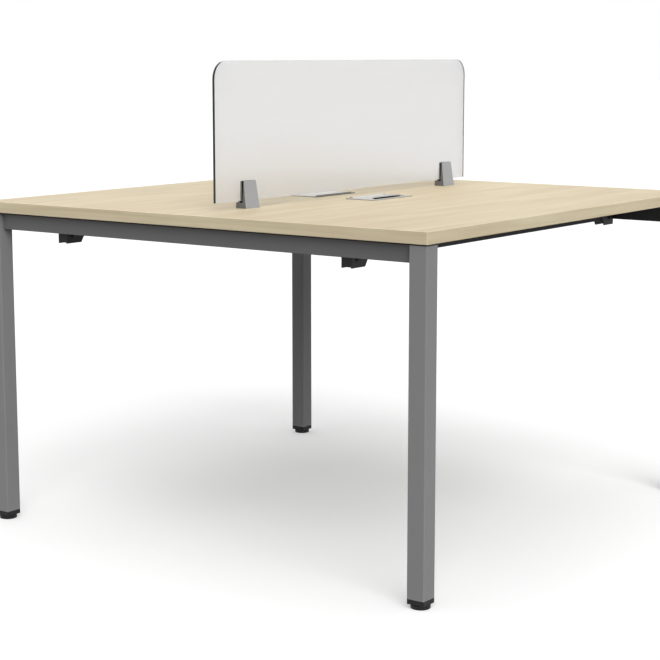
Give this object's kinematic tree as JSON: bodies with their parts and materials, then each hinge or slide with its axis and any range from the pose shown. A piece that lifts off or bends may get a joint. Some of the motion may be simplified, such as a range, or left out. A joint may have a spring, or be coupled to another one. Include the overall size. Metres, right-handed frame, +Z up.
{
  "type": "two-person work table",
  "caption": "Square work table for two people facing each other, with a frosted screen on clamps between the places, hinged cable covers and screw feet.",
  "frame": {"origin": "on the floor, under the middle of the worktop", "axes": "+Z up; X along the screen, from its left end (-X) to its right end; -Y towards the front place and +Y towards the rear place"},
  "size_m": [1.2, 1.2, 1.062],
  "materials": {
    "laminate_board": "satin maple laminate",
    "edge_band": "satin maple edge band",
    "grey_powder": "satin grey powder coat",
    "black_powder": "satin black powder coat",
    "black_plastic": "matt black plastic",
    "black_liner": "matt black plastic",
    "steel": "zinc plated",
    "black_fastener": "blackened steel",
    "frosted_glass": "frosted on both faces",
    "clamp_aluminium": "satin anodised",
    "clamp_rubber": "matt",
    "cover_aluminium": "satin anodised"
  },
  "bodies": {
    "table": {"worktop": "laminate_board", "edge_band_left": "edge_band", "edge_band_right": "edge_band", "edge_band_front": "edge_band", "edge_band_rear": "edge_band", "leg_front_left": "grey_powder", "leg_front_right": "grey_powder", "leg_rear_left": "grey_powder", "leg_rear_right": "grey_powder", "side_beam_left": "grey_powder", "side_beam_right": "black_powder", "rail_front": "black_powder", "rail_rear": "black_powder", "rail_bracket_front_left": "black_powder", "rail_bracket_front_right": "black_powder", "rail_bracket_rear_left": "black_powder", "rail_bracket_rear_right": "black_powder", "foot_cap_front_left": "black_plastic", "foot_cap_front_right": "black_plastic", "foot_cap_rear_left": "black_plastic", "foot_cap_rear_right": "black_plastic", "leg_top_caps": "black_plastic", "top_strips": "black_plastic", "cover_sleeve_front": "black_liner", "cover_sleeve_rear": "black_liner", "foot_nuts": "steel", "beam_plugs_left": "steel", "beam_plugs_right": "steel", "frame_bolts": "steel", "bracket_bolts": "steel", "bracket_nuts": "steel", "top_screws": "steel", "grub_screws": "steel", "clamp_bolts": "steel", "hinge_pin_front": "steel", "hinge_pin_rear": "steel", "cover_screws": "steel", "cross_bolts": "black_fastener", "cross_nuts": "black_fastener", "screen_panel": "frosted_glass", "screen_clamp_left": "clamp_aluminium", "screen_clamp_right": "clamp_aluminium", "clamp_liner_left": "clamp_rubber", "clamp_liner_right": "clamp_rubber", "cover_frame_front": "cover_aluminium", "cover_frame_rear": "cover_aluminium"},
    "foot_front_left": {"glide_pad_front_left": "black_plastic", "glide_stud_front_left": "steel"},
    "foot_front_right": {"glide_pad_front_right": "black_plastic", "glide_stud_front_right": "steel"},
    "foot_rear_left": {"glide_pad_rear_left": "black_plastic", "glide_stud_rear_left": "steel"},
    "foot_rear_right": {"glide_pad_rear_right": "black_plastic", "glide_stud_rear_right": "steel"},
    "lid_front": {"cover_lid_front": "cover_aluminium"},
    "lid_rear": {"cover_lid_rear": "cover_aluminium"}
  },
  "joints": [
    {"name": "lid_hinge_front", "type": "hinge", "parent": "table", "child": "lid_front", "pos_m": [0, -0.049, 0.747], "axis": [-1, 0, 0], "range_deg": [0, 100]},
    {"name": "lid_hinge_rear", "type": "hinge", "parent": "table", "child": "lid_rear", "pos_m": [0, 0.049, 0.747], "axis": [1, 0, 0], "range_deg": [0, 100]},
    {"name": "foot_screw_front_left", "type": "slide", "parent": "table", "child": "foot_front_left", "axis": [0, 0, -1], "range_m": [0, 0.015]},
    {"name": "foot_screw_front_right", "type": "slide", "parent": "table", "child": "foot_front_right", "axis": [0, 0, -1], "range_m": [0, 0.015]},
    {"name": "foot_screw_rear_left", "type": "slide", "parent": "table", "child": "foot_rear_left", "axis": [0, 0, -1], "range_m": [0, 0.015]},
    {"name": "foot_screw_rear_right", "type": "slide", "parent": "table", "child": "foot_rear_right", "axis": [0, 0, -1], "range_m": [0, 0.015]}
  ]
}
